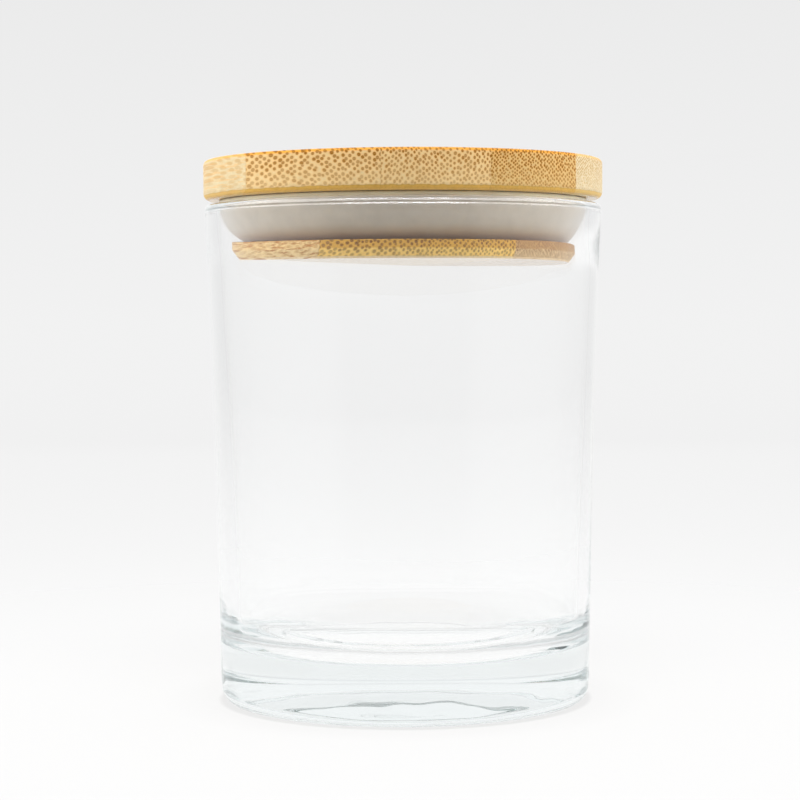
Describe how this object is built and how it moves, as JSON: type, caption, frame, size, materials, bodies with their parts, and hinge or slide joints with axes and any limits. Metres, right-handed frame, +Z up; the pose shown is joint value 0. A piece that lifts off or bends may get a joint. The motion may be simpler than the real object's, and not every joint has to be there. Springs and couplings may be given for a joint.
{
  "type": "candle jar",
  "caption": "Empty straight-sided glass candle jar with a heavy base, a push-in bamboo lid and a soft skirt seal.",
  "frame": {"origin": "centre of the jar's base, on the plane it stands on", "axes": "+Z up along the jar's axis, towards the lid"},
  "size_m": [0.081, 0.081, 0.1094],
  "materials": {
    "clear_glass": "fire-polished clear soda-lime glass",
    "silicone": "smooth translucent silicone rubber",
    "bamboo_cap_edge": "sanded pale bamboo, fine bundles",
    "bamboo_cap_a": "sanded bamboo, end grain with dark bundles",
    "bamboo_cap_b": "sanded bamboo, end grain with wide bundles",
    "bamboo_plug_a": "turned golden bamboo",
    "bamboo_plug_b": "turned golden bamboo, fine bundles"
  },
  "bodies": {
    "glass": {"jar": "clear_glass"},
    "seal": {"seal_ring": "silicone"},
    "lid": {"cap_strip_1": "bamboo_cap_edge", "cap_strip_2": "bamboo_cap_a", "cap_strip_3": "bamboo_cap_b", "cap_strip_4": "bamboo_cap_a", "cap_strip_5": "bamboo_cap_edge", "plug_strip_1": "bamboo_plug_a", "plug_strip_2": "bamboo_plug_b", "plug_strip_3": "bamboo_plug_a", "plug_strip_4": "bamboo_plug_b"}
  },
  "joints": [
    {"name": "lid_lift", "type": "slide", "parent": "glass", "child": "seal", "axis": [0, 0, 1], "range_m": [0, 0.05]},
    {"name": "lid_turn", "type": "hinge", "parent": "seal", "child": "lid", "pos_m": [0, 0, 0.1015], "axis": [0, 0, 1], "continuous": true}
  ]
}
